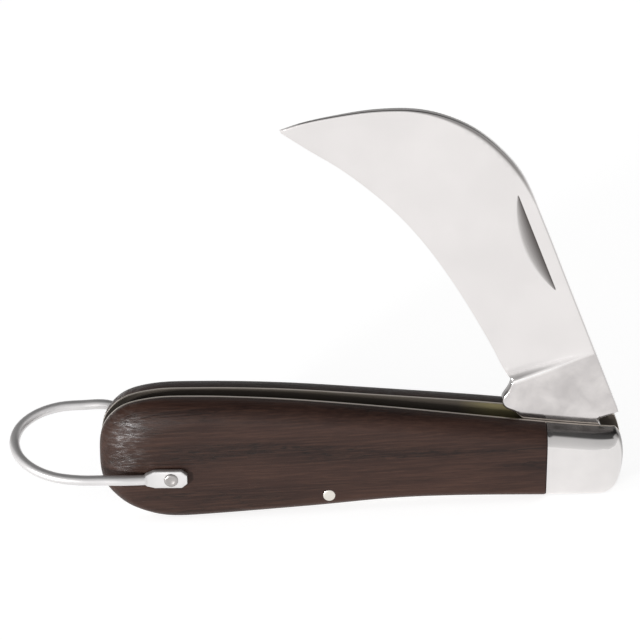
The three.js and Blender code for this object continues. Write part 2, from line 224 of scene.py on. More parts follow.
def smooth_run(points, steps, closed=False):
    """Points on a centripetal Catmull-Rom curve through some points, so many steps to a span."""
    through = [np.array(point, float) for point in points]
    count = len(through)
    if closed:
        padded = [through[-1], *through, through[0], through[1]]
        spans = count
    else:
        padded = [2 * through[0] - through[1], *through, 2 * through[-1] - through[-2]]
        spans = count - 1
    run = []
    for span in range(spans):
        four = padded[span:span + 4]
        knots = [0.0]
        for before, after in zip(four, four[1:]):
            knots.append(knots[-1] + math.sqrt(np.linalg.norm(after - before)))
        for step in range(steps):
            run.append(catmull_point(four, knots, step / steps))
    if not closed:
        run.append(through[-1])
    return np.array(run)


def catmull_point(four, knots, share):
    """The point a share of the way along the middle span of four points."""
    t = knots[1] + share * (knots[2] - knots[1])
    level = list(four)
    for width in (1, 2):
        level = [
            between(level[i], level[i + 1], knots[i], knots[i + width], t)
            for i in range(len(level) - 1)
        ]
    return between(level[0], level[1], knots[1], knots[2], t)


def between(first, second, start, end, t):
    return ((end - t) * first + (t - start) * second) / (end - start)


def evenly(points, spacing):
    """The same open line with points a fixed distance apart."""
    points = np.array(points, float)
    lengths = np.linalg.norm(np.diff(points, axis=0), axis=1)
    along = np.concatenate([[0], np.cumsum(lengths)])
    count = max(2, int(round(along[-1] / spacing)) + 1)
    wanted = np.linspace(0, along[-1], count)
    return np.stack([np.interp(wanted, along, points[:, axis]) for axis in (0, 1)], 1)


def distance_to_line(points, line):
    """For each point, its distance to a line of short segments and how far along the line it is."""
    starts, steps = line[:-1], np.diff(line, axis=0)
    lengths = np.linalg.norm(steps, axis=1)
    before = np.concatenate([[0], np.cumsum(lengths)])
    share = np.clip(
        np.einsum("psk,sk->ps", points[:, None] - starts, steps) / lengths ** 2, 0, 1
    )
    nearest = starts + share[..., None] * steps
    gaps = np.linalg.norm(points[:, None] - nearest, axis=2)
    best = gaps.argmin(1)
    rows = np.arange(len(points))
    along = (before[best] + share[rows, best] * lengths[best]) / before[-1]
    return gaps[rows, best], along


def drawn_in(outline, distance):
    """A closed outline, counter-clockwise, moved inwards: by one distance or by one a point."""
    along = np.roll(outline, -1, 0) - np.roll(outline, 1, 0)
    along /= np.linalg.norm(along, axis=1)[:, None]
    inward = np.stack([-along[:, 1], along[:, 0]], 1)
    return outline + np.reshape(distance, (-1, 1)) * inward


def rim_gaps(outline, points):
    """How far each point is from a closed outline."""
    return distance_to_line(points, np.concatenate([outline, outline[:1]]))[0]


def clear_of(outline, points, distance):
    """Which points are a distance or more from a closed outline."""
    return rim_gaps(outline, points) > CLEAR_SHARE * distance - CLEAR_SLACK


def mitred(outline, distances):
    """drawn_in() where corners that would cross over are cut off and rounded."""
    moved = drawn_in(outline, distances)
    crossed = ~clear_of(outline, moved, distances)
    inset = float(np.min(distances))
    for _ in range(round(CORNER_CUT * inset)):
        crossed = crossed | np.roll(crossed, 1) | np.roll(crossed, -1)
    count = len(outline)
    kept = np.flatnonzero(~crossed)
    around = np.concatenate([kept - count, kept, kept + count])
    values = np.concatenate([moved[kept]] * 3)
    places = np.arange(count)
    ring = np.stack([np.interp(places, around, values[:, axis]) for axis in (0, 1)], 1)
    for _ in range(round(ROUNDING * inset)):
        ring = (np.roll(ring, 1, 0) + 2 * ring + np.roll(ring, -1, 0)) / 4
    return ring


def signed_area(outline):
    x, z = outline[:, 0], outline[:, 1]
    return 0.5 * float(np.sum(x * np.roll(z, -1) - np.roll(x, -1) * z))


def cad_outline(node):
    """The outer outline of a flat CAD plate in the XZ plane, counter-clockwise."""
    mesh = bmesh.new()
    mesh.from_mesh(frame["nodes"][node].data)
    bmesh.ops.remove_doubles(mesh, verts=mesh.verts, dist=SAME_PLACE)
    top = min(vertex.co.y for vertex in mesh.verts) + SAME_PLANE
    flat = {face for face in mesh.faces if all(vertex.co.y < top for vertex in face.verts)}
    rim = {}
    for face in mesh.faces:
        for loop in face.loops:
            if face in flat and sum(other in flat for other in loop.edge.link_faces) == 1:
                rim[loop.vert] = loop.link_loop_next.vert
    loops = []
    while rim:
        start, here = next(iter(rim.items()))
        loop = [start]
        del rim[start]
        while here in rim:
            loop.append(here)
            here = rim.pop(here)
        loops.append(np.array([(v.co.x, v.co.z) for v in loop]) / MILLIMETRE)
    mesh.free()
    longest = max(loops, key=lambda loop: abs(signed_area(loop)))
    return longest if signed_area(longest) > 0 else longest[::-1]


def join_rings(mesh, rings):
    """Joins closed rings of vertices and caps the ends. An end may be a single point instead."""
    for first, second in zip(rings, rings[1:]):
        count = max(len(first), len(second))
        for i in range(count):
            j = (i + 1) % count
            corners = (first[i % len(first)], second[i % len(second)],
                       second[j % len(second)], first[j % len(first)])
            mesh.faces.new(list(dict.fromkeys(corners)))
    if len(rings[0]) > 1:
        mesh.faces.new(rings[0])
        mesh.faces.new(rings[-1][::-1])


def face_outwards(mesh):
    bmesh.ops.recalc_face_normals(mesh, faces=mesh.faces)


def ring_solid(outline, levels, side=PILE, widths=1.0):
    """A solid of stacked copies of an outline, each (y, inset), with the insets times the widths.

    Its "rim" attribute is 1 where the inset is small, for a painted dark reflection on a side near
    its liner.
    """
    mesh = bmesh.new()
    rim_layer = mesh.verts.layers.float.new("rim")
    rings = []
    for y, inset in levels:
        ring = [
            mesh.verts.new((x * MILLIMETRE, side * y * MILLIMETRE, z * MILLIMETRE))
            for x, z in mitred(outline, inset * widths * np.ones(len(outline)))
        ]
        for vertex in ring:
            vertex[rim_layer] = min(1.0, max(0.0, (RIM_END - inset) / RIM_FADE))
        rings.append(ring)
    join_rings(mesh, rings)
    bmesh.ops.triangulate(mesh, faces=[face for face in mesh.faces if len(face.verts) > 4])
    face_outwards(mesh)
    return mesh


def rounded_levels(low, high, radius, steps=4):
    """Levels for ring_solid() that round both rims of a plate."""
    angles = [step / steps * math.pi / 2 for step in range(steps + 1)]
    lower = [(low + radius * (1 - math.sin(a)), radius * (1 - math.cos(a))) for a in angles[::-1]]
    upper = [(high - radius * (1 - math.sin(a)), radius * (1 - math.cos(a))) for a in angles]
    return lower + upper


def to_object(name, mesh, material, smooth_angle=40):
    """Makes a bmesh into an object, shaded smooth except across sharp corners."""
    data = bpy.data.meshes.new(name)
    mesh.to_mesh(data)
    mesh.free()
    data.shade_smooth()
    data.set_sharp_from_angle(angle=math.radians(smooth_angle))
    data.materials.append(material)
    piece = bpy.data.objects.new(name, data)
    bpy.context.scene.collection.objects.link(piece)
    return piece


def place(piece, body, slot, *nodes):
    """Puts a new piece on its body and in place of its CAD nodes, which it hides. Its material slot
    is not used.
    """
    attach(piece, body)
    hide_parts(*nodes)


# -------- materials --------

def feed(tree, socket, value):
    """Sets a node's input: a number, a colour or another node's output."""
    if isinstance(value, bpy.types.NodeSocket):
        tree.links.new(value, socket)
    else:
        socket.default_value = value


def calculated(tree, operation, *values):
    """The output of a math node."""
    node = tree.nodes.new("ShaderNodeMath")
    node.operation = operation
    for socket, value in zip(node.inputs, values):
        feed(tree, socket, value)
    return node.outputs[0]


class Look:
    """A material's node tree, with short ways to add and join nodes."""

    def __init__(self, name):
        self.material = bpy.data.materials.new(name)
        self.material.use_nodes = True
        self.tree = self.material.node_tree
        self.tree.nodes.clear()
        self.surface = self.tree.nodes.new("ShaderNodeBsdfPrincipled")
        output = self.tree.nodes.new("ShaderNodeOutputMaterial")
        self.join(self.surface.outputs[0], output.inputs["Surface"])
        self.position = self.tree.nodes.new("ShaderNodeTexCoord").outputs["Object"]

    def join(self, source, target):
        self.tree.links.new(source, target)

    def set(self, **values):
        """Sets inputs of the surface: a number, a colour or another node's output."""
        for name, value in values.items():
            feed(self.tree, self.surface.inputs[name.replace("_", " ")], value)

    def now(self, name):
        """What feeds an input of the surface so far."""
        return self.surface.inputs[name].links[0].from_socket

    def noise(self, scale, turn=0.0, detail=3.0, roughness=0.5, distortion=0.0):
        """Noise with a scale for each axis, on coordinates first turned about Y."""
        turned = self.tree.nodes.new("ShaderNodeVectorRotate")
        turned.rotation_type = "Y_AXIS"
        turned.inputs["Angle"].default_value = turn
        self.join(self.position, turned.inputs["Vector"])
        scaled = self.tree.nodes.new("ShaderNodeVectorMath")
        scaled.operation = "MULTIPLY"
        scaled.inputs[1].default_value = scale
        self.join(turned.outputs[0], scaled.inputs[0])
        node = self.tree.nodes.new("ShaderNodeTexNoise")
        self.join(scaled.outputs[0], node.inputs["Vector"])
        for name, number in (("Scale", 1.0), ("Detail", detail), ("Roughness", roughness),
                             ("Distortion", distortion)):
            node.inputs[name].default_value = number
        return node.outputs["Fac"]

    def spread(self, value, low, high, to_low=0.0, to_high=1.0):
        """Maps a range of a value onto another range, clamped."""
        node = self.tree.nodes.new("ShaderNodeMapRange")
        self.join(value, node.inputs["Value"])
        for name, number in zip(("From Min", "From Max", "To Min", "To Max"),
                                (low, high, to_low, to_high)):
            node.inputs[name].default_value = number
        return node.outputs["Result"]

    def mix(self, factor, first, second):
        node = self.tree.nodes.new("ShaderNodeMix")
        node.data_type = "RGBA"
        for socket, value in zip((0, 6, 7), (factor, first, second)):
            feed(self.tree, node.inputs[socket], value)
        return node.outputs[2]

    def math(self, operation, *values):
        return calculated(self.tree, operation, *values)

    def within(self, axis, start, stop):
        """1 between two pairs of places along an axis, 0 beyond them."""
        rising = self.spread(self.axis(axis), *start)
        falling = self.spread(self.axis(axis), *stop, 1.0, 0.0)
        return self.math("MULTIPLY", rising, falling)

    def axis(self, name):
        node = self.tree.nodes.new("ShaderNodeSeparateXYZ")
        self.join(self.position, node.inputs[0])
        return node.outputs[name]

    def attribute(self, name):
        node = self.tree.nodes.new("ShaderNodeAttribute")
        node.attribute_name = name
        return node.outputs["Fac"]

    def bump(self, height, strength, distance):
        """Adds a bump, distance in millimetres, over any earlier one."""
        node = self.tree.nodes.new("ShaderNodeBump")
        node.inputs["Strength"].default_value = strength
        node.inputs["Distance"].default_value = distance * MILLIMETRE
        self.join(height, node.inputs["Height"])
        earlier = self.surface.inputs["Normal"].links
        if earlier:
            self.join(earlier[0].from_socket, node.inputs["Normal"])
        self.join(node.outputs[0], self.surface.inputs["Normal"])


def metal_look(name, colour, roughness, turn=0.0, along=90, across=5000, lines=0.02, smudge=0.05,
               dulling=0.1):
    """Polished metal: fine lines along the piece, with faint smudges in its gloss."""
    look = Look(name)
    scratches = look.noise((along, across, across), turn, detail=4)
    cloud = look.noise((90, 90, 90))
    darker = tuple(channel * (1 - dulling) for channel in colour) + (1,)
    tone = look.spread(cloud, 0.35, 0.65)
    look.set(Metallic=1.0, Base_Color=look.mix(tone, darker, colour + (1,)))
    fine = look.spread(scratches, 0.3, 0.7, roughness - lines, roughness + lines)
    wide = look.spread(cloud, 0.3, 0.7, -smudge, smudge)
    look.set(Roughness=look.math("ADD", fine, wide))
    look.bump(scratches, 0.03, 0.01)
    return look


def blade_look():
    """Satin steel with a smoother, clouded tang, painted dark where cut coarsely and for painted
    shade and dark reflections, with a painted highlight on the ridge.
    """
    look = metal_look("satin_blade_steel", (0.785, 0.757, 0.748), 0.24, turn=OPENING,
                      lines=0.015, smudge=0.012, dulling=0.04)
    steel, satin = look.now("Base Color"), look.now("Roughness")
    clouds = look.noise((210, 210, 210), detail=4, distortion=0.3)
    darker, clear = (0.53, 0.505, 0.50, 1), (0.69, 0.66, 0.65, 1)
    clouded = look.mix(look.spread(clouds, 0.3, 0.68), darker, clear)
    tang = look.attribute("tang")
    smoother = look.math("MULTIPLY", tang, 0.13)
    look.set(Roughness=look.math("SUBTRACT", satin, smoother))
    # Painted highlight: the ridge is painted near white. Rough-cut steel, painted shade and dark
    # reflections are painted near black.
    bright, dark = (0.97, 0.95, 0.94, 1), (0.08, 0.07, 0.066, 1)
    rubbed_and_glint = look.mix(look.attribute("ridge"), look.mix(tang, steel, clouded), bright)
    look.set(Base_Color=look.mix(look.attribute("coarse_and_shade"), rubbed_and_glint, dark))
    return look.material


def bolster_look():
    """Polished nickel silver, with a painted dark reflection near the liner, where it is also a
    little rougher.
    """
    look = metal_look("polished_nickel_silver", (0.81, 0.785, 0.775), 0.13, along=140, across=4200)
    polished, gloss = look.now("Base Color"), look.now("Roughness")
    # Painted dark reflection near the liner, mottled a little.
    reflection_mottle = look.spread(look.noise((300, 300, 300), detail=3), 0.3, 0.7, 0.8, 1.0)
    darker = look.math("MULTIPLY", look.attribute("rim"), reflection_mottle)
    dark = (0.10, 0.092, 0.088, 1)
    look.set(Base_Color=look.mix(darker, polished, dark))
    look.set(Roughness=look.math("ADD", gloss, look.math("MULTIPLY", darker, 0.15)))
    return look.material


def wood_look():
    """Dark oiled hardwood: long streaks, fine grain and short open pores."""
    look = Look("dark_hardwood")
    streaks = look.noise((14, 190, 190), detail=4, distortion=0.6)
    grain = look.noise((110, 2400, 2400), detail=5, roughness=0.65)
    pores = look.noise((480, 2600, 2600), detail=3)
    dark, middle = (0.0145, 0.0069, 0.0055, 1), (0.0355, 0.0168, 0.0124, 1)
    light, red = (0.068, 0.033, 0.022, 1), (0.11, 0.055, 0.035, 1)
    black = (0.008, 0.005, 0.004, 1)
    colour = look.mix(look.spread(streaks, 0.36, 0.66), dark, middle)
    colour = look.mix(look.spread(grain, 0.45, 0.75, 0.0, 0.55), colour, light)
    porous = look.spread(streaks, 0.38, 0.5, 1.0, 0.15)
    pore = look.math("MULTIPLY", look.spread(pores, 0.52, 0.66), porous)
    colour = look.mix(look.math("MULTIPLY", pore, 0.85), colour, black)
    # Painted light: the back and the butt are painted a little lighter and redder, where light falls
    # on them.
    low = look.spread(look.axis("Z"), *BACK_PAINTED_LIGHT, 1.0, 0.0)
    butt = look.spread(look.axis("X"), *BUTT_PAINTED_LIGHT, 1.0, 0.0)
    painted_light = look.math("MULTIPLY", look.math("MAXIMUM", low, butt), 0.12)
    look.set(Base_Color=look.mix(painted_light, colour, red))
    # At the butt, handling has polished the wood in flecks.
    rubbed_and_glint = look.within("X", POLISH_START, POLISH_STOP)
    rubbed_and_glint = look.math("MULTIPLY", rubbed_and_glint, look.spread(look.axis("Z"), *POLISH_FOOT))
    flecks = look.spread(look.noise((420, 420, 1700), detail=5), 0.45, 0.62)
    polish = look.math("MULTIPLY", rubbed_and_glint, flecks)
    matt = look.spread(grain, 0.3, 0.7, 0.36, 0.5)
    look.set(Roughness=look.math("SUBTRACT", matt, look.math("MULTIPLY", polish, 0.12)))
    look.set(Specular_IOR_Level=look.spread(polish, 0.0, 1.0, 0.2, 0.65))
    look.bump(grain, 0.9, 0.12)
    look.bump(pore, 0.5, -0.05)
    return look.material


# -------- blade --------

def spine_line():
    straight = [(x, -SPINE_DEPTH) for x in (TANG_STEP, 20, 36)]
    return evenly(smooth_run([*straight, *SPINE], 8), OUTLINE_SPACING)


SPINE_LINE = spine_line()
EDGE_LINE = evenly(smooth_run(EDGE, 8), OUTLINE_SPACING)


def tang_line():
    """From the notch round the kick and the tang's round end to the step for the spring's nose."""
    kick = smooth_run([EDGE[0], *KICK], 8)
    start, end = math.radians(270 - CLOSED_TURN), math.radians(270)
    steps = 30
    angles = [start + (end - start) * step / steps for step in range(steps + 1)]
    round_end = [(TANG_RADIUS * math.cos(a), TANG_RADIUS * math.sin(a)) for a in angles]
    inner_corner = (TANG_STEP, -TANG_RADIUS)
    step_corner = (TANG_STEP, -SPINE_DEPTH)
    return evenly([*kick, *round_end, inner_corner, step_corner], OUTLINE_SPACING)


def spine_half(along):
    return SPINE_HALF - TIP_THINNING * along ** 4


def blade_half(points, square_rim):
    """Half the blade's thickness at each point."""
    from_spine, along = distance_to_line(points, SPINE_LINE)
    from_edge, _ = distance_to_line(points, EDGE_LINE)
    share = from_spine / (from_spine + from_edge)
    ground = spine_half(along) * (1 - share) + SHOULDER_HALF * share
    sweep = np.clip((points[:, 0] - PLUNGE) / PLUNGE_SWEEP, 0, 1)
    ridge = RIDGE_DROP * np.clip(1 - (PLUNGE - points[:, 0]) / RIDGE, 0, 1) * share
    half = ground + (TANG_HALF - ridge - ground) * (1 - sweep) ** 2
    honed = EDGE_HALF + (SHOULDER_HALF - EDGE_HALF) * np.clip(from_edge / HONE_WIDTH, 0, 1)
    unhoned = np.clip(1 - (points[:, 0] - PLUNGE) / (PLUNGE_SWEEP + UNHONED_REACH), 0, 1) ** 2
    honed = np.minimum(half, honed + UNHONED_EXTRA * unhoned)
    half = np.where(from_edge < HONE_WIDTH, honed, half)
    from_rim, _ = distance_to_line(points, square_rim)
    swell = bevel_swell(along)
    near = np.clip(1 - from_rim / (CORNER_ROUND + BEVEL_WIDTH * swell), 0, 1)
    depth = CORNER_ROUND + BEVEL_DEPTH * swell
    return half - np.minimum(depth * (1 - np.sqrt(1 - near ** 2)), CORNER_SHARE * half)


def bevel_swell(along):
    """How much of the roughly ground bevel there is along the spine, and of its painted dark
    reflection: all of it round the crown.
    """
    crown = eased((along - BEVEL_START) / BEVEL_RISE) * eased((BEVEL_STOP - along) / BEVEL_FALL)
    return np.maximum(crown, BEVEL_LOW)


def spine_coarse_shade(points):
    """How dark each point is painted, for the rough grind and as a dark reflection: most at the
    spine's corner, fading across its bevel.
    """
    from_spine, along = distance_to_line(points, SPINE_LINE)
    swell = bevel_swell(along)
    fade = SPINE_SHADE_MARGIN + (CORNER_ROUND + BEVEL_WIDTH) * swell
    darkest = SPINE_COARSE_SHADE * (1 - eased((along - SPINE_SHADE_STOP) / SPINE_SHADE_FALL))
    darkest = darkest + BEVEL_COARSER_SHADE * swell * np.clip(from_spine / CORNER_ROUND, 0, 1)
    return darkest * np.clip(SPINE_SHADE_SHARPNESS * (1 - from_spine / fade), 0, 1)


def ridge_highlight(points):
    """How much painted highlight each point has: most along the plunge's ridge, near the notch."""
    # The painted highlight covers the middle half of the ridge, and fades out just beyond its edges.
    across = np.clip(1.5 - 2 * np.abs(PLUNGE - RIDGE / 2 - points[:, 0]) / RIDGE, 0, 1)
    return across * np.clip((points[:, 1] - RIDGE_HIGHLIGHT_FOOT) / NOTCH_RISE, 0, 1)


def grind_start(points):
    """How much painted shade each point gets beside the plunge, where the grind starts: most near
    the notch.
    """
    ahead = points[:, 0] - PLUNGE
    beside = np.where(ahead > GRIND_CLEAR, np.clip(1 - ahead / GRIND_FADE, 0, 1), 0)
    return GRIND_PAINTED_SHADE * beside * np.clip((points[:, 1] - GRIND_FOOT) / NOTCH_RISE, 0, 1)


def sawn_rim(points, inward):
    """How dark the tang's sawn rim is painted at each point, for its rough finish and as painted
    shade: most at the kick.
    """
    near_kick = eased((points[:, 1] - KICK_FOOT) / KICK_RISE)
    sawn = TANG_RIM_COARSE_SHADE * (1 - inward)
    sawn = sawn * (TANG_RIM_LEAST + (1 - TANG_RIM_LEAST) * near_kick)
    return np.where(points[:, 0] < PLUNGE, sawn, 0)


def nick_height(x):
    """How far the nick's curved side is from its straight one, at x."""
    radius = (NICK_LENGTH ** 2 / 4 + NICK_WIDTH ** 2) / (2 * NICK_WIDTH)
    inside = np.maximum(radius ** 2 - (x - NICK_CENTRE) ** 2, 0)
    return np.maximum(np.sqrt(inside) - (radius - NICK_WIDTH), 0)


def nick_cut(points):
    """How deep the nick is at each point, and how much painted shade it has: both greatest along its
    straight side.
    """
    x, rise = points[:, 0], points[:, 1] - NICK_LINE
    height = nick_height(x)
    inside = (height > TINY) & (rise > NICK_WALL * 0.5) & (rise < height)
    across = np.where(inside, rise / np.maximum(height, TINY), 1)
    ends = 1 - ((x - NICK_CENTRE) / (NICK_LENGTH / 2)) ** 2
    depth = np.where(inside, NICK_DEPTH * np.sqrt(np.clip(ends, 0, 1)) * (1 - across), 0)
    shade = np.where(inside, (1 - across) ** 0.5, 0)
    return depth, shade


def nick_points():
    """The nick's outline, as a closed loop of points, and the points of its floor."""
    half = NICK_LENGTH / 2 * 0.998      # just short of where its two sides meet
    xs = np.linspace(NICK_CENTRE - half, NICK_CENTRE + half, NICK_COLUMNS)
    straight = np.stack([xs, np.full_like(xs, NICK_LINE)], 1)
    curved = np.stack([xs, NICK_LINE + nick_height(xs)], 1)[::-1]
    inner = xs[2:-2]
    floor = [np.stack([inner, NICK_LINE + share * nick_height(inner)], 1) for share in NICK_ROWS]
    inner = xs[4:-4]
    foot = np.stack([inner, np.full_like(inner, NICK_LINE + NICK_WALL)], 1)
    return np.concatenate([straight, curved[1:-1]]), np.concatenate([*floor, foot])


def filled(outline, extra_points, extra_lines):
    """Triangles that fill an outline, using more points and keeping lines as edges."""
    points = [Vector(point) for point in outline]
    edges = [(i, (i + 1) % len(outline)) for i in range(len(outline))]
    for line, closed in extra_lines:
        first = len(points)
        points += [Vector(point) for point in line]
        edges += [(first + i, first + i + 1) for i in range(len(line) - 1)]
        if closed:
            edges.append((first + len(line) - 1, first))
    points += [Vector(point) for point in extra_points]
    whole = [tuple(range(len(outline)))]
    found = delaunay_2d_cdt(points, edges, whole, 1, FILL_MERGE)
    vertices, _, faces, origins, _, _ = found
    rim = {}
    for index, came_from in enumerate(origins):
        for old in came_from:
            if old < len(outline):
                rim[old] = index
    return np.array([tuple(v) for v in vertices]), faces, [rim[i] for i in range(len(outline))]


def inner_grid(outline):
    """A triangular grid of points inside an outline, clear of its rim."""
    low, high = outline.min(0), outline.max(0)
    rows = []
    for row, z in enumerate(np.arange(low[1], high[1], GRID_SPACING * GRID_ROW)):
        xs = np.arange(low[0] + (row % 2) * GRID_SPACING / 2, high[0], GRID_SPACING)
        rows.append(np.stack([xs, np.full_like(xs, z)], 1))
    points = np.concatenate(rows)
    ends = np.roll(outline, -1, 0)
    crossings = np.zeros(len(points), int)
    for (x1, z1), (x2, z2) in zip(outline, ends):
        spans = (z1 > points[:, 1]) != (z2 > points[:, 1])
        at = x1 + (points[:, 1] - z1) * (x2 - x1) / (z2 - z1 if z2 != z1 else 1)
        crossings += spans & (points[:, 0] < at)
    points = points[crossings % 2 == 1]
    return points[rim_gaps(outline, points) > GRID_CLEARANCE]


def blade_support(outline):
    """Points inside the blade's outline: a grid, and lines round its rim and beside the plunge."""
    grid = inner_grid(outline)
    from_sweep = np.abs(grid[:, 0] - PLUNGE - PLUNGE_SWEEP / 2)
    support = [grid[from_sweep >= PLUNGE_SWEEP / 2 + GRID_SPACING]]
    for inset in RIM_INSETS:
        moved = drawn_in(outline, inset)
        support.append(moved[clear_of(outline, moved, inset)])
    zs = np.arange(OUTLINE_SPACING - SPINE_DEPTH, SWEEP_TOP, OUTLINE_SPACING)
    for ahead in SWEEP_LINES:
        line = np.stack([np.full_like(zs, PLUNGE + ahead), zs], 1)
        support.append(line[clear_of(outline, line, SWEEP_CLEARANCE)])
    support = np.concatenate(support)
    return support[np.abs(support[:, 0] - PLUNGE) > PLUNGE_CLEARANCE]


def blade_faces(outline):
    """What filled() gives for the mark side, with its nick, and for the plain pile side."""
    support = blade_support(outline)
    zs = np.linspace(CORNER_ROUND - SPINE_DEPTH, PLUNGE_TOP, 36)
    plunge = (np.stack([np.full_like(zs, PLUNGE), zs], 1), False)
    nick_outline, nick_floor = nick_points()
    off_nick = support[~nick_cut_region(support)]
    nicked = filled(
        outline, np.concatenate([off_nick, nick_floor]), [plunge, (nick_outline, True)]
    )
    return {MARK: nicked, PILE: filled(outline, support, [plunge])}


def make_blade():
    tang = tang_line()
    outline = np.concatenate([SPINE_LINE, EDGE_LINE[::-1][1:], tang[1:-1]])
    square_rim = np.concatenate([tang, SPINE_LINE[1:]])
    mesh = bmesh.new()
    layers = [mesh.verts.layers.float.new(name) for name in ("coarse_and_shade", "ridge", "tang")]
    rims = []
    for side, (points, faces, rim) in blade_faces(outline).items():
        half = blade_half(points, square_rim)
        from_rim, _ = distance_to_line(points, square_rim)
        inward = np.clip(from_rim / CORNER_ROUND, 0, 1)
        unground = inward * np.clip((PLUNGE - points[:, 0]) / RIDGE, 0, 1)
        # How dark each point is painted: rough cuts, painted shade and dark reflections.
        coarse_and_shade = np.maximum(spine_coarse_shade(points), grind_start(points))
        coarse_and_shade = np.maximum(coarse_and_shade, sawn_rim(points, inward))
        if side == MARK:
            depth, shade = nick_cut(points)
            half = half - depth
            coarse_and_shade = np.maximum(coarse_and_shade, shade)
        made = [mesh.verts.new(point) for point in blade_place(points, side * half)]
        for vertex, *shares in zip(made, coarse_and_shade, ridge_highlight(points), unground):
            for layer, share in zip(layers, shares):
                vertex[layer] = float(share)
        for face in faces:
            mesh.faces.new([made[i] for i in face])
        rims.append([made[i] for i in rim])
    for index in range(len(outline)):
        after = (index + 1) % len(outline)
        mesh.faces.new((rims[0][index], rims[0][after], rims[1][after], rims[1][index]))
    face_outwards(mesh)
    blade = to_object("hawkbill_blade", mesh, blade_look(), BLADE_SMOOTH_ANGLE)
    place(blade, "blade", "blade_steel", "blade")


def nick_cut_region(points):
    """Which points lie in or right beside the nick."""
    rise = points[:, 1] - NICK_LINE
    height = nick_height(points[:, 0])
    along, across = NICK_MARGIN
    beside = np.abs(points[:, 0] - NICK_CENTRE) < NICK_LENGTH / 2 + along
    return beside & (rise > -across) & (rise < height + across)


def blade_place(points, y):
    """Turns points of the open blade to where it stands at rest."""
    c, s = math.cos(OPENING), math.sin(OPENING)
    x = PIVOT[0] + points[:, 0] * c - points[:, 1] * s
    z = PIVOT[2] + points[:, 0] * s + points[:, 1] * c
    return metres(np.stack([x, y, z], 1))


# -------- handle --------

def crown_levels():
    """Levels for ring_solid() from a side's liner face up to its flat, insets from 0 to 1."""
    levels = [(SIDE_FOOT, 0.0)]
    for step in range(CROWN_STEPS + 1):
        angle = step / CROWN_STEPS * math.pi / 2
        levels.append((FACE - CROWN_DEPTH * (1 - math.sin(angle)), 1 - math.cos(angle)))
    return levels


def eased(share):
    """A share from 0 to 1, clamped, with a gentle start and end."""
    share = np.clip(share, 0, 1)
    return share * share * (3 - 2 * share)


def crown_widths(outline, side):
    """How far the crown reaches in from each point of the outline."""
    widths = np.full(len(outline), PILE_CROWN_WIDTH if side == PILE else CROWN_WIDTH)
    if side == MARK:
        upper = eased((outline[:, 1] - TOP_CROWN_FOOT) / TOP_CROWN_RISE)
        near_butt = eased(1 - (outline[:, 0] - outline[:, 0].min()) / BUTT_CROWN_REACH)
        widths += upper * (TOP_CROWN_EXTRA + BUTT_CROWN_EXTRA * near_butt)
    return widths


def cut_at_joint(mesh, keep_ahead, gap, corner):
    """Cuts a handle side at the leaning joint, caps the cut and breaks its corner."""
    forward = Vector((math.cos(JOINT_LEAN), 0, -math.sin(JOINT_LEAN)))
    if not keep_ahead:
        forward.negate()
    point = Vector(JOINT_POINT * MILLIMETRE) + forward * gap * MILLIMETRE
    everything = [*mesh.verts, *mesh.edges, *mesh.faces]
    bmesh.ops.bisect_plane(mesh, geom=everything, plane_co=point, plane_no=forward,
                           clear_inner=True)
    rim = [edge for edge in mesh.edges if edge.is_boundary]
    bmesh.ops.contextual_create(mesh, geom=rim)
    face_outwards(mesh)
    bmesh.ops.bevel(mesh, geom=rim, offset=corner * MILLIMETRE, segments=2, affect="EDGES",
                    profile=0.5)
    return mesh


def side_outline(name):
    """The outline that one side's scale, bolster and liner share."""
    outline = smooth_run(cad_outline(f"{name}_liner"), 2, closed=True)
    return drawn_in(outline, SIDE_SKIN)


def make_sides():
    wood = wood_look()
    silver = bolster_look()
    for name, side in SIDES.items():
        outline = side_outline(name)
        levels, widths = crown_levels(), crown_widths(outline, side)
        scale = ring_solid(outline, levels, side, widths)
        scale = cut_at_joint(scale, keep_ahead=False, gap=0.0, corner=WOOD_CORNER)
        scale = to_object(f"{name}_wood_scale", scale, wood)
        place(scale, "handle", "dark_wood", f"{name}_scale")
        bolster = ring_solid(outline, levels, side, widths)
        bolster = cut_at_joint(bolster, keep_ahead=True, gap=BOLSTER_GAP, corner=BOLSTER_CORNER)
        bolster = to_object(f"{name}_side_bolster", bolster, silver)
        place(bolster, "handle", "nickel_silver", f"{name}_bolster")


def make_spring():
    """One continuous bar, which bends from the fixed foot to the nose on the flexing arm."""
    foot, arm = cad_outline("backspring"), cad_outline("backspring_arm")
    foot = open_at(foot, foot[:, 0] > foot[:, 0].max() - SEAM_WIDTH)
    arm = open_at(arm, arm[:, 0] < arm[:, 0].min() + SEAM_WIDTH)
    outline = smooth_run(np.concatenate([foot, arm]), 2, closed=True)
    look = metal_look("satin_spring_steel", (0.62, 0.61, 0.60), 0.3, along=60)
    outline = mitred(outline, np.full(len(outline), SPRING_PLAY))
    mesh = ring_solid(outline, rounded_levels(-SPRING_HALF, SPRING_HALF, SPRING_ROUND))
    spring = to_object("whole_backspring", mesh, look.material)
    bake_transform(spring)
    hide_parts("backspring", "backspring_arm")


def open_at(outline, at_seam):
    """Turns a closed outline so that it starts just after its seam, and leaves the seam out."""
    start = next(i for i in range(len(outline)) if at_seam[i - 1] and not at_seam[i])
    return np.roll(outline, -start, 0)[~np.roll(at_seam, -start)]


def dome(radius, rise):
    """The profile of a domed pin end, (distance from the axis, height), from its middle out."""
    steps = 6
    angles = [step / steps * math.pi / 2 for step in range(steps + 1)]
    return [(radius * math.sin(a), rise * math.cos(a)) for a in angles]


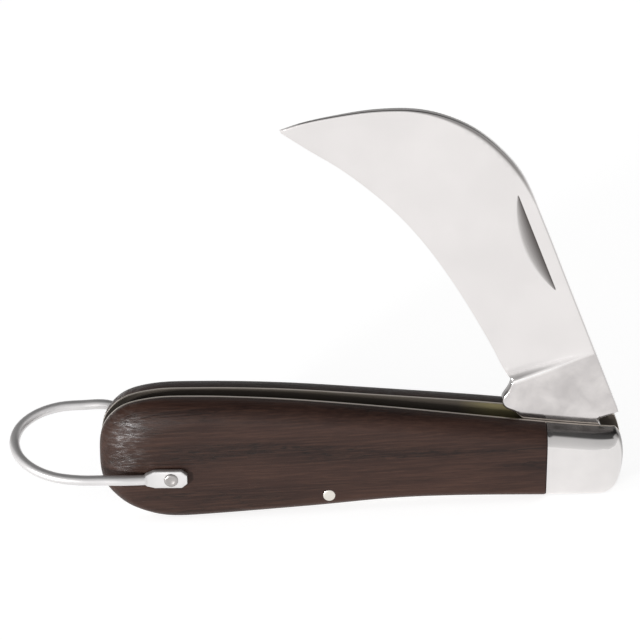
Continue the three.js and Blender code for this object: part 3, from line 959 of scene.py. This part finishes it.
def make_pin(name, centre, half_length, end, node, material):
    """A round pin along Y, both ends to the same profile."""
    profile = [(r, half_length + y) for r, y in end]
    profile += [(r, -y) for r, y in profile[::-1]]
    turns = [2 * math.pi * segment / PIN_SEGMENTS for segment in range(PIN_SEGMENTS)]
    mesh = bmesh.new()
    rings = []
    for r, y in profile:
        around = turns if r else turns[:1]
        ring = [(centre[0] + r * math.cos(a), y, centre[1] + r * math.sin(a)) for a in around]
        rings.append([mesh.verts.new(point) for point in metres(ring)])
    join_rings(mesh, rings)
    face_outwards(mesh)
    place(to_object(name, mesh, material), "handle", "pin_metal", node)


def pin_place(node):
    """A CAD pin's centre, (x, z), and its radius."""
    low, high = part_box(node)
    middle = (low + high) / 2 / MILLIMETRE
    return (middle.x, middle.z), (high.x - low.x) / 2 / MILLIMETRE


def make_pins():
    bright = metal_look("bright_pin_metal", (0.74, 0.71, 0.65), 0.25, along=900, across=900)
    centre, radius = pin_place("pivot_pin")
    end = dome(radius, PIVOT_DOME)
    make_pin("blade_pivot_pin", centre, FACE - PIVOT_SINK, end, "pivot_pin", bright.material)
    centre, radius = pin_place("centre_pin")
    end = dome(radius, PIN_DOME)
    make_pin("spring_centre_pin", centre, FACE, end, "centre_pin", bright.material)
    darker = metal_look("peened_rivet", (0.42, 0.40, 0.39), 0.3, along=1100, across=1100)
    centre, _ = pin_place("bail_pin")
    outside = EYE_MIDDLE + EYE_HALF_THICKNESS
    make_pin("bail_rivet", centre, outside, RIVET_END, "bail_pin", darker.material)


def liner_look():
    """Brass, bright on its rims and darker inside the slot, darkest towards the butt, with a painted
    glint inside beside the tang.
    """
    look = metal_look("brass_with_painted_glint", (0.74, 0.67, 0.60), 0.3, along=80, across=3800)
    bright = look.now("Base Color")
    low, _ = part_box("pile_liner")
    start, stop = (low.y + out for out in SLOT_SIDE)
    inside = look.spread(look.math("ABSOLUTE", look.axis("Y")), start, stop, 1.0, 0.0)
    # Inside the slot the brass is darker, darkest towards the butt, with a painted glint beside the
    # tang.
    darker, rubbed_and_glint, darkest = (0.10, 0.085, 0.072, 1), (0.23, 0.20, 0.11, 1), (0.03, 0.026, 0.022, 1)
    slot_colour = look.mix(look.within("X", GLINT_START, GLINT_STOP), darker, rubbed_and_glint)
    at_butt = look.spread(look.axis("X"), *SLOT_DARKEST_AT_BUTT, 1.0, 0.0)
    slot_colour = look.mix(at_butt, slot_colour, darkest)
    look.set(Base_Color=look.mix(inside, bright, slot_colour))
    look.set(Roughness=look.spread(inside, 0.0, 1.0, 0.3, 0.6))
    return look.material


def make_liners():
    brass = liner_look()
    levels = rounded_levels(LINER_INNER, LINER_OUTER, LINER_ROUND)
    for name, side in SIDES.items():
        liner = ring_solid(side_outline(name), levels, side)
        liner = to_object(f"{name}_brass_liner", liner, brass)
        place(liner, "handle", "liner_brass", f"{name}_liner")


# -------- bail --------

def along_eye(side, rise, distance, out):
    """A point in line with one eye, some distance from the pin and from the middle plane."""
    return (-distance * math.cos(rise), side * out, distance * math.sin(rise))


def eye_route(side, rise):
    """The wire's middle line from an eye's blunt end to its first bend."""
    route = [along_eye(side, rise, distance, EYE_MIDDLE) for distance in (-EYE_END, 0, EYE_FLAT)]
    return [*route, along_eye(side, rise, NECK_REACH, EYE_MIDDLE + NECK_OUT)]


def bail_route():
    """The wire's middle line, from the blunt end of one eye round the loop to the other."""
    points = eye_route(MARK, MARK_EYE_RISE)
    points += [(-9, -LEG_OFFSET + 0.1, 0.7), (-LEG_LENGTH + 5, -LEG_OFFSET, 1.05)]
    middle = (MARK_LEG_RISE + PILE_LEG_RISE) / 2
    half = (PILE_LEG_RISE - MARK_LEG_RISE) / 2
    turns = 8
    for turn in range(turns + 1):
        angle = (turn / turns - 0.5) * math.pi
        points.append((
            -LEG_LENGTH - LOOP_REACH * math.cos(angle),
            LEG_OFFSET * math.sin(angle),
            middle + half * math.sin(angle) + LOOP_SWELL * math.cos(angle),
        ))
    # The pile side's leg comes down steeply to its eye.
    points.append((-12.9, LEG_OFFSET, PILE_LEG_RISE - 0.4))
    points.append(along_eye(PILE, PILE_EYE_RISE, 8.6, LEG_OFFSET - 0.15))
    points += eye_route(PILE, PILE_EYE_RISE)[::-1]
    return smooth_run(points, 16)


def eye_shares(distance):
    """How flat and how tall the wire is at some distance from its end: 1 for the full eye."""
    from_neck = EYE_END + EYE_NECK - distance
    flat = min(1.0, max(0.0, from_neck / NECK_STEP))
    tall = min(1.0, max(0.0, from_neck / NECK_TAPER))
    return flat, flat * (NECK_SHARE + (1 - NECK_SHARE) * tall)


def wire_section(distance):
    """The wire's section at some distance from its end, (out, up): flat and squared at the eyes."""
    flat, tall = eye_shares(distance)
    blunt = min(1.0, BLUNT_SHARE + (1 - BLUNT_SHARE) * distance / BLUNT_LENGTH)
    height = WIRE_RADIUS + (EYE_HALF_HEIGHT * blunt - WIRE_RADIUS) * tall
    thickness = WIRE_RADIUS + (EYE_HALF_THICKNESS - WIRE_RADIUS) * flat
    power = 2 / (2 + EYE_SQUARENESS * flat)
    section = []
    for segment in range(WIRE_SEGMENTS):
        angle = 2 * math.pi * segment / WIRE_SEGMENTS
        c, s = math.cos(angle), math.sin(angle)
        out = math.copysign(abs(c) ** power, c) * thickness
        section.append((out, math.copysign(abs(s) ** power, s) * height))
    return section


def make_bail():
    route = bail_route()
    steps = np.linalg.norm(np.diff(route, axis=0), axis=1)
    along = np.concatenate([[0], np.cumsum(steps)])
    to_end = np.minimum(along, along[-1] - along)
    tangents = np.gradient(route, axis=0)
    tangents /= np.linalg.norm(tangents, axis=1)[:, None]
    mesh = bmesh.new()
    rings = []
    for point, tangent, distance in zip(route, tangents, to_end):
        out = np.cross(tangent, (0, 0, 1))
        out /= np.linalg.norm(out)
        up = np.cross(out, tangent)
        middle = BAIL_AXIS + point
        ring = [middle + across * out + rise * up for across, rise in wire_section(distance)]
        rings.append([mesh.verts.new(corner) for corner in metres(ring)])
    join_rings(mesh, rings)
    face_outwards(mesh)
    look = metal_look("plated_wire", (0.69, 0.675, 0.673), 0.35, along=400, across=400,
                      smudge=0.04)
    look.set(Metallic=0.75)
    bail = to_object("wire_bail", mesh, look.material, smooth_angle=50)
    place(bail, "bail", "bail_wire", "bail")


# -------- stage, light and camera --------

def make_floor():
    """A pale floor that glows a little, so that its shadows stay soft and faint."""
    mesh = bmesh.new()
    bmesh.ops.create_circle(mesh, cap_ends=True, segments=96, radius=8.0)
    look = Look("pale_floor")
    mottle = look.noise((3, 3, 3))
    look.set(Base_Color=look.mix(mottle, (0.48, 0.48, 0.48, 1), (0.52, 0.52, 0.52, 1)))
    look.set(Roughness=0.9, Specular_IOR_Level=0.0)
    look.set(Emission_Color=(1, 1, 1, 1), Emission_Strength=0.8)
    floor = to_object("studio_floor", mesh, look.material)
    floor.location.z = -0.0002      # just under the knife


def make_world():
    """A studio that changes from front to back: a pale front, a dark gap above, a pale panel behind.

    The ramp runs over the top of the studio, from 0 at the front horizon to 1 at the back one.
    Off to the sides it turns towards the front's tones.
    """
    stops = [(0.0, 0.66), (0.05, 0.6), (0.12, 0.54), (0.31, 0.46), (0.36, 0.06), (0.62, 0.05),
             (0.72, 0.12), (0.8, 0.34), (1.0, 0.34)]
    pale_sides, brightness = 0.8, 1.3
    world = bpy.data.worlds.new("studio")
    bpy.context.scene.world = world
    world.use_nodes = True
    tree = world.node_tree
    split = tree.nodes.new("ShaderNodeSeparateXYZ")
    feed(tree, split.inputs[0], tree.nodes.new("ShaderNodeTexCoord").outputs["Generated"])
    forward = calculated(tree, "MULTIPLY", split.outputs["Y"], -1)
    aside = calculated(tree, "ABSOLUTE", split.outputs["X"])
    forward = calculated(tree, "MULTIPLY_ADD", aside, pale_sides, forward)
    over = calculated(tree, "ARCTAN2", split.outputs["Z"], forward)
    ramp = tree.nodes.new("ShaderNodeValToRGB")
    feed(tree, ramp.inputs[0], calculated(tree, "DIVIDE", over, math.pi))
    background = tree.nodes["Background"]
    feed(tree, background.inputs["Strength"], brightness)
    feed(tree, background.inputs["Color"], ramp.outputs[0])
    elements = ramp.color_ramp.elements
    elements.remove(elements[1])
    for position, value in stops:
        stop = elements.new(position) if position else elements[0]
        stop.color = (value, value, value, 1)


def make_light():
    """A small soft lamp low on the left, in front of the knife."""
    data = bpy.data.lights.new("key", "AREA")
    data.shape = "RECTANGLE"
    data.size, data.size_y = 0.14, 0.2
    data.energy = 16
    light = bpy.data.objects.new("key", data)
    bpy.context.scene.collection.objects.link(light)
    light.location = (-0.8, -1.1, 0.12)
    toward = Vector((-0.02, 0, 0.015)) - light.location
    light.rotation_euler = toward.to_track_quat("-Z", "Y").to_euler()


def make_camera():
    """Looks from a little to the right and 25 degrees above the blade's flat, rolled slightly."""
    azimuth, elevation, roll = (math.radians(angle) for angle in (2, 25, -4.1))
    distance = 0.4876
    target = Vector((0.00274, 0, 0.04003))
    back = Vector((math.sin(azimuth) * math.cos(elevation),
                   -math.cos(azimuth) * math.cos(elevation), math.sin(elevation)))
    level = Vector((math.cos(azimuth), math.sin(azimuth), 0))
    up = back.cross(level)
    right = level * math.cos(roll) + up * math.sin(roll)
    up = back.cross(right)
    data = bpy.data.cameras.new("camera")
    data.sensor_width = 36
    data.lens = 138.66
    data.clip_start = 0.01
    camera = bpy.data.objects.new("camera", data)
    bpy.context.scene.collection.objects.link(camera)
    stand = Matrix((right, up, back)).transposed().to_4x4()
    stand.translation = target + back * distance
    camera.matrix_world = stand
    bpy.context.scene.camera = camera


make_camera()
make_world()
make_floor()
make_light()
make_blade()
make_sides()
make_spring()
make_pins()
make_liners()
make_bail()
bpy.context.scene.view_settings.view_transform = "Standard"
